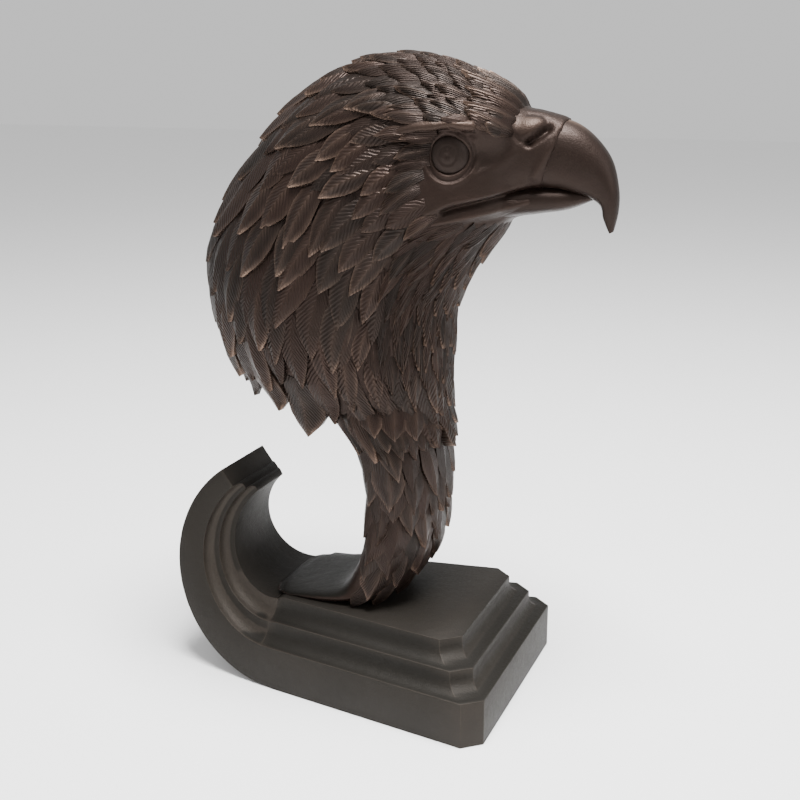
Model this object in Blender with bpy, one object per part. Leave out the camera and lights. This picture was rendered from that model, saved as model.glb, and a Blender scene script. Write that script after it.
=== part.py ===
"""Eagle figurine: a feathered eagle's head and neck on a stepped plinth that curls up behind it.

Metres, +Z up. The beak points along +X, and the origin is the centre of the plinth's flat underside.
"""

import math

import bmesh
import bpy

# Plinth
foot_length = 0.112
plinth_width = 0.122
heel_width = 0.089
tip_width = 0.042
foot_height = 0.0221
step_height = 0.0104
fillet_height = 0.0039
side_step = 0.0071
front_step = 0.0082
corner_chamfer = 0.0086
curl_radius = 0.0610
curl_tip_radius = 0.0525
curl_turn = math.radians(144)
curl_mid_thickness = 0.0310
tip_thickness = 0.0170
tip_slant = 0.0030
cove_pieces = 3
foot_pieces = 5
curl_pieces = 18
coved_steps = 2

# Eagle
seat_gap = 0.0003
eagle_setback = 0.1037
eagle_height = 0.2580
feathers_round = 28
crown_rows = 11
ruff_rows = 9
neck_rows = 8
feather_relief = 0.0040
relief_of_pitch = 0.32
feather_point = 0.34
ridge_share = 0.06
notch_relief = 0.45
ruff_hang = 0.60
cere_relief = 0.0012
beak_round = 16
beak_pieces = 18
jaw_round = 12
jaw_pieces = 8
eye_segments = 12
eye_rings = 8

# How far the brow, the eye's hollow and the cheek stand out or in, as shares of the height.
brow_out = 0.020
hollow_in = 0.016
cheek_out = 0.006
# Places along the sections below: where the crown's rows, the ruff, the neck's rows and the cere end.
crown_end = 6.0
ruff_end = 12.0
neck_feathers_end = 7.4
cere_end = 2.3

# The eye's size, and its place forward, up and out from the middle plane, as shares of the height.
eye_size = 0.0305
eye_place = (0.304, 0.835, 0.103)
# The bare skin round the eye and the gape: its centre forward and up, and its reach both ways.
bare_face = (0.370, 0.785, 0.145, 0.078)

# Cross-sections of the head, from the brow over the crown and nape to the ruff's lower edge. Each is
# the back of the section (forward, up), its throat side (forward, up), half its width and how flat its
# back is, as shares of the eagle's height measured from the middle of the neck's foot.
head_sections = (
    (0.388, 0.900, 0.376, 0.734, 0.061, 0.0),
    (0.362, 0.922, 0.350, 0.708, 0.086, 0.0),
    (0.315, 0.953, 0.322, 0.676, 0.110, 0.0),
    (0.246, 0.976, 0.298, 0.645, 0.126, 0.0),
    (0.156, 0.981, 0.280, 0.616, 0.138, 0.0),
    (0.061, 0.959, 0.266, 0.585, 0.150, 0.0),
    (-0.028, 0.908, 0.256, 0.557, 0.163, 0.0),
    (-0.100, 0.832, 0.252, 0.526, 0.176, 0.0),
    (-0.160, 0.748, 0.250, 0.494, 0.184, 0.0),
    (-0.201, 0.656, 0.248, 0.462, 0.188, 0.0),
    (-0.203, 0.566, 0.247, 0.433, 0.184, 0.0),
    (-0.182, 0.490, 0.248, 0.400, 0.172, 0.0),
    (-0.148, 0.426, 0.252, 0.366, 0.148, 0.0),
    (-0.122, 0.366, 0.255, 0.334, 0.137, 0.0),
)
# Cross-sections of the neck, from under the ruff down to the foot that flares out behind.
neck_sections = (
    (0.050, 0.396, 0.250, 0.350, 0.140, 0.6),
    (0.102, 0.314, 0.250, 0.300, 0.127, 0.7),
    (0.122, 0.245, 0.249, 0.241, 0.115, 0.8),
    (0.120, 0.183, 0.244, 0.183, 0.108, 0.8),
    (0.116, 0.126, 0.236, 0.124, 0.104, 0.8),
    (0.099, 0.069, 0.213, 0.076, 0.103, 0.7),
    (0.072, 0.027, 0.182, 0.034, 0.107, 0.6),
    (0.010, 0.011, 0.151, 0.012, 0.112, 0.8),
    (-0.071, 0.000, 0.132, 0.000, 0.108, 1.2),
)
# Cross-sections of the upper beak, from inside the cere along the culmen to the hook's tip.
beak_sections = (
    (0.330, 0.880, 0.330, 0.745, 0.066, 0.0),
    (0.390, 0.900, 0.385, 0.770, 0.060, 0.0),
    (0.438, 0.895, 0.420, 0.776, 0.053, 0.0),
    (0.481, 0.882, 0.455, 0.775, 0.045, 0.0),
    (0.514, 0.857, 0.480, 0.770, 0.038, 0.0),
    (0.537, 0.823, 0.503, 0.764, 0.030, 0.0),
    (0.546, 0.778, 0.522, 0.751, 0.022, 0.0),
    (0.547, 0.743, 0.525, 0.732, 0.015, 0.0),
    (0.540, 0.713, 0.529, 0.710, 0.006, 0.0),
)
# Cross-sections of the lower beak, tucked up inside the upper one.
jaw_sections = (
    (0.320, 0.790, 0.300, 0.700, 0.062, 0.0),
    (0.370, 0.785, 0.370, 0.725, 0.052, 0.0),
    (0.420, 0.785, 0.420, 0.734, 0.044, 0.0),
    (0.465, 0.782, 0.470, 0.743, 0.033, 0.0),
    (0.500, 0.776, 0.509, 0.759, 0.014, 0.0),
)

plinth_height = foot_height + coved_steps * step_height
front_x = foot_length / 2
heel_x = -foot_length / 2
curl_slope = (curl_tip_radius - curl_radius) / curl_turn
curl_length = (curl_radius + curl_tip_radius) / 2 * curl_turn
eagle_x = front_x - eagle_setback
eagle_z = plinth_height + seat_gap


def material(name, colour, roughness, metallic):
    made = bpy.data.materials.new(name)
    made.use_nodes = True
    shader = made.node_tree.nodes["Principled BSDF"]
    shader.inputs["Base Color"].default_value = (*colour, 1.0)
    shader.inputs["Roughness"].default_value = roughness
    shader.inputs["Metallic"].default_value = metallic
    return made


def new_object(name, mesh_data, collection, finish):
    made = bpy.data.objects.new(name, mesh_data)
    collection.objects.link(made)
    if finish:
        made.data.materials.append(finish)
    return made


def loft(name, rings):
    """A closed skin through rings of equal counts, with its faces turned outwards."""
    built = bmesh.new()
    rows = [[built.verts.new(point) for point in ring] for ring in rings]
    count = len(rings[0])
    for upper, lower in zip(rows, rows[1:]):
        for i in range(count):
            j = (i + 1) % count
            built.faces.new((upper[i], upper[j], lower[j], lower[i]))
    built.faces.new(rows[0])
    built.faces.new(reversed(rows[-1]))
    bmesh.ops.recalc_face_normals(built, faces=built.faces)
    made = bpy.data.meshes.new(name)
    built.to_mesh(made)
    built.free()
    return made


def union(target, tool):
    """Joins one solid to another by a Boolean."""
    joining = target.modifiers.new("Join " + tool.name, "BOOLEAN")
    joining.operation = "UNION"
    joining.solver = "EXACT"
    joining.object = tool


def blend(start, end, share):
    return start + (end - start) * share


def smooth(share):
    share = min(max(share, 0.0), 1.0)
    return share * share * (3 - 2 * share)


# Plinth


def plinth_levels():
    """(height, count of steps in) of each level of the moulding, from the underside up."""
    levels = [(0.0, 0.0), (foot_height, 0.0)]
    cove_height = step_height - fillet_height
    for step in range(coved_steps):
        base = foot_height + step * step_height
        for piece in range(1, cove_pieces + 1):
            turn = math.pi / 2 * piece / cove_pieces
            levels.append((base + cove_height * (1 - math.cos(turn)), step + math.sin(turn)))
        levels.append((base + step_height, step + 1.0))
    return levels


def along_plinth(run):
    """(x, z, turn, half width, thickness) at a distance along the underside from the front face."""
    if run <= foot_length:
        half = blend(plinth_width, heel_width, run / foot_length) / 2
        return front_x - run, 0.0, 0.0, half, plinth_height
    past = run - foot_length
    if abs(curl_slope) < 1e-9:
        turn = past / curl_radius
    else:
        turn = (math.sqrt(curl_radius**2 + 2 * curl_slope * past) - curl_radius) / curl_slope
    sine, cosine = math.sin(turn), math.cos(turn)
    x = heel_x - curl_radius * sine - curl_slope * (turn * sine + cosine - 1)
    z = curl_radius * (1 - cosine) + curl_slope * (sine - turn * cosine)
    share = past / curl_length
    half = blend(heel_width, tip_width, share) / 2
    thickness = plinth_height * (1 - share) * (1 - 2 * share)
    thickness += 4 * curl_mid_thickness * share * (1 - share) + tip_thickness * share * (2 * share - 1)
    return x, z, turn, half, thickness


def plinth_level_outline(height, steps):
    """One level's outline, down the left side from the front and back up the right."""
    front = steps * front_step
    end = foot_length + curl_length + steps * tip_slant
    runs = [front, front + corner_chamfer]
    runs += [
        blend(front + corner_chamfer, foot_length, i / foot_pieces) for i in range(1, foot_pieces + 1)
    ]
    runs += [blend(foot_length, end, i / curl_pieces) for i in range(1, curl_pieces + 1)]
    left, right = [], []
    for index, run in enumerate(runs):
        x, z, turn, half, thickness = along_plinth(run)
        scale = thickness / plinth_height
        half -= steps * side_step * scale
        if index == 0:
            half -= corner_chamfer
        x += height * scale * math.sin(turn)
        z += height * scale * math.cos(turn)
        left.append((x, half, z))
        right.append((x, -half, z))
    return left + right[::-1]


def plinth(collection, finish):
    """The stepped plinth: level outlines stacked from the underside to the top, then capped by strips."""
    built = bmesh.new()
    levels = [
        [built.verts.new(point) for point in plinth_level_outline(*level)] for level in plinth_levels()
    ]
    count = len(levels[0])
    for lower, upper in zip(levels, levels[1:]):
        for i in range(count):
            j = (i + 1) % count
            built.faces.new((lower[i], lower[j], upper[j], upper[i]))
    for level in (levels[0], levels[-1]):
        for i in range(count // 2 - 1):
            built.faces.new((level[i], level[i + 1], level[count - 2 - i], level[count - 1 - i]))
    bmesh.ops.recalc_face_normals(built, faces=built.faces)
    mesh_data = bpy.data.meshes.new("plinth")
    built.to_mesh(mesh_data)
    built.free()
    return new_object("plinth", mesh_data, collection, finish)


# Eagle


def section_at(sections, place):
    """The section at a place between two of the list's, on a Catmull-Rom curve through them."""
    last = len(sections) - 1
    index = min(int(place), last - 1)
    share = place - index
    before = sections[max(index - 1, 0)]
    here, there = sections[index], sections[index + 1]
    after = sections[min(index + 2, last)]
    return tuple(
        0.5
        * (
            2 * b
            + (c - a) * share
            + (2 * a - 5 * b + 4 * c - d) * share**2
            + (3 * b - a - 3 * c + d) * share**3
        )
        for a, b, c, d in zip(before, here, there, after)
    )


def section_point(section, turn, lift=0.0):
    """A point of a section's outline, lifted off it: turn 0 is the throat side, pi the back."""
    back_x, back_z, throat_x, throat_z, half_width, flatness = section
    half_x = (throat_x - back_x) / 2 * eagle_height
    half_z = (throat_z - back_z) / 2 * eagle_height
    reach = math.hypot(half_x, half_z)
    half = half_width * eagle_height
    cosine, sine = math.cos(turn), math.sin(turn)
    power = 1.0
    if cosine < 0:
        power = 1 / (1 + flatness)
    along = math.copysign(abs(cosine) ** power, cosine)
    across = math.copysign(abs(sine) ** power, sine)
    out_along, out_across = cosine * half, sine * reach
    size = math.hypot(out_along, out_across)
    along_move = along + lift * out_along / size / reach
    x = eagle_x + (back_x + throat_x) / 2 * eagle_height + half_x * along_move
    z = eagle_z + (back_z + throat_z) / 2 * eagle_height + half_z * along_move
    y = half * across + lift * out_across / size
    return x, y, z


def bump(value, centre, reach):
    return math.exp(-(((value - centre) / reach) ** 2))


def shares_of(point):
    """How far forward and up a point is, as shares of the eagle's height."""
    return (point[0] - eagle_x) / eagle_height, (point[2] - eagle_z) / eagle_height


def face_form(point):
    """The brow's overhang, the eye's hollow and the cheek, as a move away from the middle plane."""
    x, y, z = point
    forward, up = shares_of(point)
    eye_forward, eye_up, eye_out = eye_place
    on_side = smooth(abs(y) / eagle_height / 0.08)
    brow_up = eye_up + 0.048 - 0.08 * (forward - eye_forward)
    brow = brow_out * bump(up, brow_up, 0.022) * bump(forward, eye_forward, 0.11)
    hollow = hollow_in * bump(up, eye_up - 0.007, 0.034) * bump(forward, eye_forward + 0.02, 0.085)
    cheek = cheek_out * bump(up, eye_up - 0.090, 0.040) * bump(forward, eye_forward - 0.04, 0.080)
    move = (brow - hollow + cheek) * on_side * eagle_height
    return x, y + math.copysign(move, y), z


def feathered_share(point):
    """0 on the bare skin round the eye and the gape, 1 where feathers grow."""
    forward, up = shares_of(point)
    middle_forward, middle_up, reach_forward, reach_up = bare_face
    out = math.hypot((forward - middle_forward) / reach_forward, (up - middle_up) / reach_up)
    return smooth((out - 0.85) / 0.3)


def feather_rings(sections, first, last, rows, shift, hang=0.0, bare_back=False):
    """Rings for rows of pointed feathers: each row's zigzag lip, then the step down to the next row.

    The last row can hang clear of the neck behind, and the back can be left smooth.
    """
    count = 2 * feathers_round
    rings = []
    length = (last - first) / rows
    for row in range(rows):
        lips, steps = [], []
        end = first + length * (row + 1)
        for column in range(count):
            turn = 2 * math.pi * column / count
            behind = -math.cos(turn)
            side = 1 if (column + row + shift) % 2 else -1
            place = end + side * feather_point * length / 2
            under = place + ridge_share * length
            hanging = 0.0
            if hang and row == rows - 1:
                hanging = smooth((behind + 0.1) / 0.5)
                place = blend(place, end + hang * (side + 1) / 2, hanging)
                under = blend(under, end, hanging)
            rest = section_point(section_at(sections, place), turn)
            share = feathered_share(rest)
            if bare_back:
                share *= 1 - smooth((behind - 0.65) / 0.2)
            next_row = section_point(section_at(sections, place + length), turn)
            relief = min(feather_relief, relief_of_pitch * math.dist(rest, next_row))
            lift = relief * share * (1.0 if side > 0 else notch_relief)
            sunk = -feather_relief * hanging
            lips.append(face_form(section_point(section_at(sections, place), turn, lift)))
            steps.append(face_form(section_point(section_at(sections, under), turn, sunk)))
        rings += [lips, steps]
    return rings


def plain_ring(sections, place):
    """One smooth ring with as many points as a row of feathers has."""
    section = section_at(sections, place)
    count = 2 * feathers_round
    return [face_form(section_point(section, 2 * math.pi * column / count)) for column in range(count)]


def head_and_neck():
    """One skin from the brow over the head and down the neck to the foot."""
    rings = [plain_ring(head_sections, 0.0)]
    rings += feather_rings(head_sections, 0.0, crown_end, crown_rows, 0)
    rings += feather_rings(head_sections, crown_end, ruff_end, ruff_rows, crown_rows, hang=ruff_hang)
    rings.append(plain_ring(neck_sections, 0.0))
    rings += feather_rings(neck_sections, 0.0, neck_feathers_end, neck_rows, 0, bare_back=True)
    rings.append(plain_ring(neck_sections, len(neck_sections) - 1))
    return loft("eagle", rings)


def horn(name, sections, around, pieces, relief=0.0):
    """A lofted horn through a list of sections, whose base is raised up to the cere's end."""
    rings = []
    for index in range(pieces + 1):
        place = (len(sections) - 1) * index / pieces
        section = section_at(sections, place)
        lift = relief if place <= cere_end else 0.0
        rings.append(
            [section_point(section, 2 * math.pi * column / around, lift) for column in range(around)]
        )
    return loft(name, rings)


def eyeball(side):
    """A round eye set in the side of the head, and its place."""
    forward, up, out = (share * eagle_height for share in eye_place)
    built = bmesh.new()
    radius = eye_size * eagle_height
    bmesh.ops.create_uvsphere(built, u_segments=eye_segments, v_segments=eye_rings, radius=radius)
    made = bpy.data.meshes.new("eyeball")
    built.to_mesh(made)
    built.free()
    return made, (eagle_x + forward, side * out, eagle_z + up)


def eagle(collection, cutters, finish):
    body = new_object("eagle", head_and_neck(), collection, finish)
    upper = horn("upper_beak", beak_sections, beak_round, beak_pieces, cere_relief)
    lower = horn("lower_beak", jaw_sections, jaw_round, jaw_pieces)
    tools = [
        new_object("upper_beak", upper, cutters, None),
        new_object("lower_beak", lower, cutters, None),
    ]
    for side, name in ((1, "left_eye"), (-1, "right_eye")):
        mesh_data, place = eyeball(side)
        eye = new_object(name, mesh_data, cutters, None)
        eye.location = place
        tools.append(eye)
    for tool in tools:
        tool.hide_render = True
        tool.display_type = "WIRE"
        union(body, tool)
    return body


def main():
    for old in list(bpy.data.objects):
        bpy.data.objects.remove(old, do_unlink=True)
    figurine = bpy.data.collections.new("eagle_figurine")
    cutters = bpy.data.collections.new("shapes_joined_in")
    bpy.context.scene.collection.children.link(figurine)
    bpy.context.scene.collection.children.link(cutters)
    stone_bronze = material("plinth_bronze", (0.045, 0.040, 0.034), 0.42, 0.4)
    brown_bronze = material("feather_bronze", (0.065, 0.042, 0.032), 0.45, 0.6)
    plinth(figurine, stone_bronze)
    eagle(figurine, cutters, brown_bronze)


main()
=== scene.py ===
"""Eagle figurine, finished: the carved head, its laid feathers and the moulded plinth in dark bronze.

Metres, +Z up. The beak points along +X, and the origin is the centre of the plinth's flat underside.
"""

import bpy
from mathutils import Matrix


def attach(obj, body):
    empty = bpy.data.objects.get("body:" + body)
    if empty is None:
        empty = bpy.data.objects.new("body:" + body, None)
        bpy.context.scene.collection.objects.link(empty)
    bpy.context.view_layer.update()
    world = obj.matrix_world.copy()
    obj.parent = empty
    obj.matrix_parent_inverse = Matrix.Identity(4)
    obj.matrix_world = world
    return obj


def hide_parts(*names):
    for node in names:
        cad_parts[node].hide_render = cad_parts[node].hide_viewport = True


bl_info = {
    "name": "Eagle Figurine",
    "version": (1, 0, 0),
    "blender": (4, 5, 0),
    "location": "View3D > Sidebar > Eagle",
    "description": "Models and finishes a bronze eagle's head on a curled, stepped plinth",
    "category": "Add Mesh",
}

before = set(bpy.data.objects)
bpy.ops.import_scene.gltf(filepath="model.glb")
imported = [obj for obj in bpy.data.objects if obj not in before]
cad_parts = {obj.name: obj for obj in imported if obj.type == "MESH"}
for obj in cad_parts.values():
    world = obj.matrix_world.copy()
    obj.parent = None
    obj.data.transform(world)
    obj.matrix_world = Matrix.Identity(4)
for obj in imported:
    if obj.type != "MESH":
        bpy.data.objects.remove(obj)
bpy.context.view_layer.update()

import math
import random

import bpy
import numpy as np
from bpy.props import FloatProperty, FloatVectorProperty, IntProperty, PointerProperty
from mathutils import Matrix, Vector

# Cross-sections of the head, from the brow over the crown and nape to the ruff's hanging tips. Each is
# the back of the section (forward, up), its throat side (forward, up), half its width and how flat its
# back is, as shares of the eagle's height measured from the middle of the neck's foot.
head_sections = np.array((
    (0.392, 0.910, 0.378, 0.734, 0.061, 0.0),
    (0.368, 0.930, 0.360, 0.708, 0.086, 0.0),
    (0.315, 0.955, 0.332, 0.676, 0.110, 0.0),
    (0.246, 0.981, 0.308, 0.645, 0.126, 0.0),
    (0.156, 0.987, 0.289, 0.616, 0.138, 0.0),
    (0.063, 0.963, 0.273, 0.585, 0.150, 0.0),
    (-0.024, 0.905, 0.261, 0.557, 0.163, 0.0),
    (-0.094, 0.828, 0.257, 0.526, 0.176, 0.0),
    (-0.153, 0.746, 0.255, 0.494, 0.184, 0.0),
    (-0.190, 0.656, 0.252, 0.462, 0.188, 0.0),
    (-0.187, 0.566, 0.249, 0.433, 0.184, 0.0),
    (-0.166, 0.490, 0.247, 0.400, 0.172, 0.0),
    (-0.136, 0.426, 0.248, 0.366, 0.148, 0.0),
    (-0.122, 0.366, 0.255, 0.334, 0.142, 0.0),
    (-0.100, 0.306, 0.258, 0.300, 0.134, 0.0),
))
# Cross-sections of the neck, from under the ruff down to the foot that flares out behind.
neck_sections = np.array((
    (0.050, 0.396, 0.243, 0.350, 0.130, 0.6),
    (0.102, 0.314, 0.242, 0.300, 0.121, 0.7),
    (0.122, 0.245, 0.243, 0.241, 0.113, 0.8),
    (0.120, 0.183, 0.239, 0.183, 0.108, 0.8),
    (0.116, 0.126, 0.230, 0.124, 0.104, 0.8),
    (0.099, 0.069, 0.208, 0.076, 0.103, 0.7),
    (0.072, 0.027, 0.178, 0.034, 0.107, 0.6),
    (0.010, 0.011, 0.151, 0.012, 0.112, 0.8),
    (-0.071, 0.000, 0.132, 0.000, 0.108, 1.2),
))
# Cross-sections of the upper beak, from inside the cere along the culmen to the hook's tip.
beak_sections = np.array((
    (0.330, 0.880, 0.330, 0.745, 0.066, 0.0),
    (0.390, 0.900, 0.385, 0.770, 0.060, 0.0),
    (0.438, 0.895, 0.420, 0.776, 0.053, 0.0),
    (0.481, 0.882, 0.455, 0.775, 0.045, 0.0),
    (0.514, 0.857, 0.480, 0.770, 0.038, 0.0),
    (0.539, 0.823, 0.503, 0.764, 0.030, 0.0),
    (0.551, 0.778, 0.523, 0.751, 0.022, 0.0),
    (0.552, 0.743, 0.528, 0.730, 0.015, 0.0),
    (0.546, 0.712, 0.537, 0.708, 0.005, 0.0),
    (0.543, 0.708, 0.539, 0.706, 0.003, 0.0),
))
# Cross-sections of the lower beak, tucked up inside the upper one.
jaw_sections = np.array((
    (0.320, 0.790, 0.300, 0.700, 0.062, 0.0),
    (0.370, 0.785, 0.370, 0.725, 0.052, 0.0),
    (0.420, 0.785, 0.420, 0.734, 0.044, 0.0),
    (0.465, 0.782, 0.470, 0.743, 0.033, 0.0),
    (0.500, 0.776, 0.509, 0.759, 0.014, 0.0),
))
# The same neck carried up inside the ruff, where its first feathers have their roots.
neck_feather_sections = np.insert(neck_sections, 0, (0.050, 0.500, 0.236, 0.450, 0.115, 0.6), axis=0)
# Places along these tables where the ruff, the cere and the jaw's skin end, how much further the cere
# reaches along the culmen, and how square the undersides of both beaks are.
ruff_end = 12.0
cere_end, seam_slant = 2.3, 0.32
jaw_skin_end = 2.6
beak_under, jaw_under = 0.5, 0.3

# The plinth's coved steps, and how far behind its flat underside the groove across its top is.
coved_steps = 2
seam_setback = 0.0105

# The eye's place forward and up, and the bare skin round it (centre and reach), as shares of the height.
eye_forward, eye_up = 0.296, 0.835
eye_narrowing = 0.85
bare_face = (0.370, 0.778, 0.150, 0.090)
eye_socket = 0.050
# How far the brow stands out, the eye's hollow goes in and the cheek stands out, as shares of the height.
brow_out, hollow_in, cheek_out = 0.020, 0.016, 0.006

# Lines carved in the face, each with its depth (negative cuts in) and width in millimetres, then its
# points forward and up as shares of the height.
face_lines = {
    "mouth": (-2.4, 1.3, ((0.290, 0.741), (0.306, 0.747), (0.336, 0.754), (0.370, 0.763),
                          (0.396, 0.771), (0.425, 0.776), (0.455, 0.777))),
    "upper lip": (0.7, 1.5, ((0.262, 0.741), (0.300, 0.760), (0.344, 0.768), (0.400, 0.784))),
    "lower lip": (0.9, 1.4, ((0.268, 0.722), (0.317, 0.733), (0.357, 0.742), (0.410, 0.757))),
    "under lip": (-0.7, 1.3, ((0.280, 0.711), (0.317, 0.718), (0.357, 0.726), (0.400, 0.736))),
    "nostril": (-3.2, 1.9, ((0.414, 0.855), (0.428, 0.865), (0.439, 0.876))),
    "nostril fold": (-0.5, 1.2, ((0.386, 0.866), (0.398, 0.858), (0.414, 0.853))),
    "hood edge": (-0.6, 0.9, ((0.404, 0.896), (0.424, 0.895), (0.436, 0.888))),
    "under brow": (-1.5, 1.7, ((0.212, 0.856), (0.250, 0.867), (0.298, 0.873), (0.332, 0.868))),
    "brow edge": (2.3, 2.3, ((0.185, 0.864), (0.250, 0.878), (0.300, 0.883), (0.330, 0.880))),
    "cere rim": (0.7, 1.8, ((0.463, 0.881), (0.459, 0.862), (0.440, 0.832), (0.422, 0.800))),
    "cheek fold": (0.5, 2.0, ((0.335, 0.803), (0.365, 0.815), (0.392, 0.838))),
}


def smooth(share):
    share = np.clip(share, 0.0, 1.0)
    return share * share * (3 - 2 * share)


def blend(start, end, share):
    return start + (end - start) * share


def bump(value, centre, reach):
    return np.exp(-(((value - centre) / reach) ** 2))


# Sizes and colours


class PlinthSizes(bpy.types.PropertyGroup):
    foot_length: FloatProperty(
        name="Foot length", description="Flat underside from front to heel", default=0.112, unit="LENGTH")
    width: FloatProperty(
        name="Width", description="Width across the front", default=0.122, unit="LENGTH")
    heel_width: FloatProperty(
        name="Heel width", description="Width where the curl starts", default=0.089, unit="LENGTH")
    tip_width: FloatProperty(
        name="Tip width", description="Width at the curl's end", default=0.042, unit="LENGTH")
    foot_height: FloatProperty(
        name="Foot height", description="Height of the plain lowest tier", default=0.0221, unit="LENGTH")
    step_height: FloatProperty(
        name="Step height", description="Height of each coved step", default=0.0104, unit="LENGTH")
    fillet_height: FloatProperty(
        name="Fillet height", description="Upright strip above each cove", default=0.0039, unit="LENGTH")
    side_step: FloatProperty(
        name="Side step", description="How far each tier stands in at a side", default=0.0071, unit="LENGTH")
    front_step: FloatProperty(
        name="Front step", description="How far each tier stands in in front", default=0.0082, unit="LENGTH")
    corner_chamfer: FloatProperty(
        name="Corner chamfer", description="Cut of the front corners", default=0.0086, unit="LENGTH")
    curl_radius: FloatProperty(
        name="Curl radius", description="Underside's radius where the curl starts", default=0.061,
        unit="LENGTH")
    curl_tip_radius: FloatProperty(
        name="Curl tip radius", description="Underside's radius at the curl's end", default=0.0525,
        unit="LENGTH")
    curl_turn: FloatProperty(
        name="Curl turn", description="How far the back end turns over", default=math.radians(144),
        subtype="ANGLE")
    curl_mid_thickness: FloatProperty(
        name="Curl thickness", description="Thickness halfway round the curl", default=0.031, unit="LENGTH")
    tip_thickness: FloatProperty(
        name="Tip thickness", description="Thickness at the curl's end", default=0.0195, unit="LENGTH")
    tip_slant: FloatProperty(
        name="Tip slant", description="How much further each tier runs at the tip", default=0.0045,
        unit="LENGTH")
    edge_round: FloatProperty(
        name="Edge rounding", description="Softening of the cast edges", default=0.0009, unit="LENGTH")
    seam_depth: FloatProperty(
        name="Seam depth", description="Groove across the top behind the foot", default=0.0009,
        unit="LENGTH")


class EagleSizes(bpy.types.PropertyGroup):
    height: FloatProperty(
        name="Height", description="From the plinth's top to the crown's scale", default=0.258,
        unit="LENGTH")
    setback: FloatProperty(
        name="Setback", description="Neck's middle behind the plinth's front", default=0.1037,
        unit="LENGTH")
    seat_gap: FloatProperty(
        name="Seat gap", description="Joint between neck and plinth", default=0.0003, unit="LENGTH")
    eye_radius: FloatProperty(
        name="Eye radius", description="Radius of the eyeball's rim", default=0.0078, unit="LENGTH")
    crown_feather: FloatProperty(
        name="Crown feather", description="Length of the smallest feathers", default=0.0145, unit="LENGTH")
    ruff_feather: FloatProperty(
        name="Ruff feather", description="Length of the feathers on nape and ruff", default=0.0390,
        unit="LENGTH")
    neck_feather: FloatProperty(
        name="Neck feather", description="Length of the neck's pointed feathers", default=0.0260,
        unit="LENGTH")
    feather_lift: FloatProperty(
        name="Feather lift", description="How far a large feather's tip stands up", default=0.0042,
        unit="LENGTH")
    grain: FloatProperty(
        name="Skin grain", description="Edge of the skin's finest facet", default=0.0013, unit="LENGTH")
    seed: IntProperty(
        name="Seed", description="Chooses how the feathers vary", default=7, min=0)


class FinishColours(bpy.types.PropertyGroup):
    feather_dark: FloatVectorProperty(
        name="Feather patina", description="Brown of the feathers", subtype="COLOR",
        default=(0.0120, 0.0086, 0.0070), min=0, max=1)
    feather_red: FloatVectorProperty(
        name="Warm patina", description="Redder brown of some feathers", subtype="COLOR",
        default=(0.0200, 0.0118, 0.0090), min=0, max=1)
    # The worn copper: rubbed patina, and also the painted highlights on feather edges, tips and shafts, the
    # face's raised lines, the brow and the beak's top ridge.
    copper: FloatVectorProperty(
        name="Worn copper", description="Colour of rubbed edges and ridges", subtype="COLOR",
        default=(0.225, 0.150, 0.112), min=0, max=1)
    plinth_dark: FloatVectorProperty(
        name="Plinth patina", description="Grey-brown of the plinth", subtype="COLOR",
        default=(0.0105, 0.0091, 0.0072), min=0, max=1)
    # Lighter colour on the softened moulding edges: rubbed patina with a painted edge highlight.
    plinth_wear_and_highlight: FloatVectorProperty(
        name="Plinth wear and highlight", description="Brighter edges of the moulding", subtype="COLOR",
        default=(0.085, 0.068, 0.055), min=0, max=1)


# Modelling helpers


def deselect():
    bpy.ops.object.select_all(action="DESELECT")


def choose(piece):
    deselect()
    piece.select_set(True)
    bpy.context.view_layer.objects.active = piece


def turn_outwards(piece):
    """Turns the piece's faces outwards and leaves it selected and active."""
    choose(piece)
    bpy.ops.object.mode_set(mode="EDIT")
    bpy.ops.mesh.select_all(action="SELECT")
    bpy.ops.mesh.normals_make_consistent(inside=False)
    bpy.ops.object.mode_set(mode="OBJECT")


def mesh_piece(name, points, faces):
    """A new object with a mesh of these points and faces, turned outwards, selected and active."""
    made = bpy.data.meshes.new(name)
    made.from_pydata(np.asarray(points).reshape(-1, 3).tolist(), [], faces)
    piece = bpy.data.objects.new(name, made)
    bpy.context.scene.collection.objects.link(piece)
    turn_outwards(piece)
    return piece


def side_faces(rows, count):
    """Quads between neighbouring rings of equal counts."""
    return [
        (low + i, low + (i + 1) % count, low + count + (i + 1) % count, low + count + i)
        for low in range(0, (rows - 1) * count, count)
        for i in range(count)
    ]


def loft(name, rings):
    """A closed skin through rings of equal counts."""
    rows, count = len(rings), len(rings[0])
    faces = side_faces(rows, count)
    faces.append(tuple(range(count)))
    faces.append(tuple(range((rows - 1) * count, rows * count))[::-1])
    return mesh_piece(name, np.array(rings), faces)


def coordinates(piece):
    points = np.empty(len(piece.data.vertices) * 3)
    piece.data.vertices.foreach_get("co", points)
    return points.reshape(-1, 3)


def move_vertices(piece, points):
    piece.data.vertices.foreach_set("co", np.asarray(points, float).ravel())
    piece.data.update()


def select_faces(piece, chosen):
    """Selects these faces alone and opens edit mode on the piece."""
    choose(piece)
    piece.data.vertices.foreach_set("select", np.zeros(len(piece.data.vertices), bool))
    piece.data.edges.foreach_set("select", np.zeros(len(piece.data.edges), bool))
    piece.data.polygons.foreach_set("select", np.asarray(chosen, bool))
    bpy.context.tool_settings.mesh_select_mode = (False, False, True)
    bpy.ops.object.mode_set(mode="EDIT")


def face_centres(piece):
    centres = np.empty(len(piece.data.polygons) * 3)
    piece.data.polygons.foreach_get("center", centres)
    return centres.reshape(-1, 3)


def point_values(piece, name, values):
    """Keeps one number a vertex on the piece, for its material to read."""
    kept = piece.data.attributes.new(name, "FLOAT", "POINT")
    kept.data.foreach_set("value", np.asarray(values, np.float32))


def finished(piece, material, nodes=()):
    """Gives a piece its material and ties it to the frame."""
    piece.data.materials.clear()
    piece.data.materials.append(material)
    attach(piece, "root")
    if nodes:
        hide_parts(*nodes)


# Shader groups


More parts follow.
